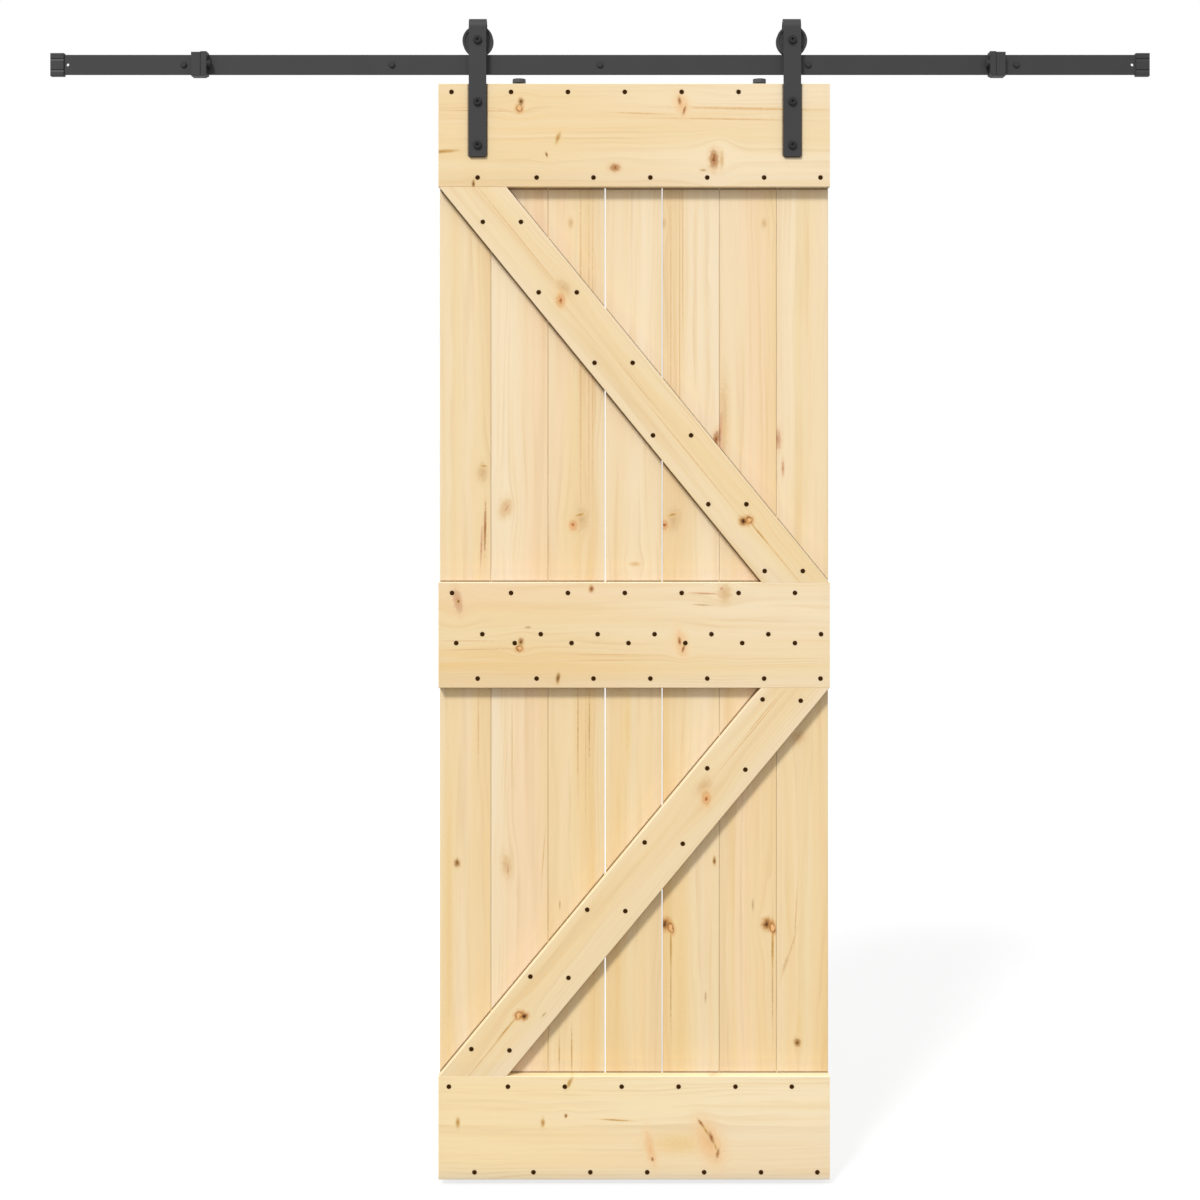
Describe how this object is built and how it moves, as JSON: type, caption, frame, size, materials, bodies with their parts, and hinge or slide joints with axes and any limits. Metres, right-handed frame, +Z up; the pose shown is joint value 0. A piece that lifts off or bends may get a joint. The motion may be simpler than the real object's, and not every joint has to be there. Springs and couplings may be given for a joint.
{
  "type": "sliding barn door",
  "caption": "Sliding plank door with ledges and slanting braces, hung by strap hangers and grooved wheels from a flat wall rail with end stops.",
  "frame": {"origin": "centre of the middle rail spacer's back face, on the wall, level with the rail's middle", "axes": "+Z up, +Y into the wall, +X to the right as seen from the room"},
  "size_m": [2.1118, 0.0555, 2.2264],
  "materials": {
    "pine": "planed and sanded, bare",
    "black_steel": "matt powder coat",
    "black_plastic": "moulded, matt",
    "black_nylon": "moulded, satin",
    "black_rubber": "moulded, matt",
    "bright_steel": "ground"
  },
  "bodies": {
    "track": {"track_rail": "black_steel", "rail_spacers": "black_steel", "left_end_cap": "black_plastic", "left_stop_clamp": "black_steel", "left_stop_block": "black_steel", "right_end_cap": "black_plastic", "right_stop_clamp": "black_steel", "right_stop_block": "black_steel", "stop_bumpers": "black_rubber"},
    "door": {"plank_1": "pine", "plank_2": "pine", "plank_3": "pine", "plank_4": "pine", "plank_5": "pine", "plank_6": "pine", "plank_7": "pine", "top_ledge": "pine", "middle_ledge": "pine", "bottom_ledge": "pine", "upper_brace": "pine", "lower_brace": "pine", "left_hanger_strap": "black_steel", "right_hanger_strap": "black_steel", "hanger_bolts": "black_steel", "hanger_nuts": "black_steel", "axle_bolts": "black_steel", "axle_nuts": "black_steel", "axle_bushes": "bright_steel", "anti_jump_discs": "black_plastic"},
    "left_roller": {"left_wheel": "black_nylon", "left_wheel_bearing": "bright_steel"},
    "right_roller": {"right_wheel": "black_nylon", "right_wheel_bearing": "bright_steel"}
  },
  "joints": [
    {"name": "door_slide", "type": "slide", "parent": "track", "child": "door", "axis": [1, 0, 0], "range_m": [-0.49, 0.35]},
    {"name": "left_wheel_spin", "type": "hinge", "parent": "door", "child": "left_roller", "pos_m": [-0.2345, -0.033, 0.045], "axis": [0, 1, 0], "continuous": true},
    {"name": "right_wheel_spin", "type": "hinge", "parent": "door", "child": "right_roller", "pos_m": [0.3682, -0.033, 0.045], "axis": [0, 1, 0], "continuous": true}
  ],
  "couplings": [
    {"joint": "left_wheel_spin", "follows": "door_slide", "rad_per_m": 38.462},
    {"joint": "right_wheel_spin", "follows": "door_slide", "rad_per_m": 38.462}
  ]
}
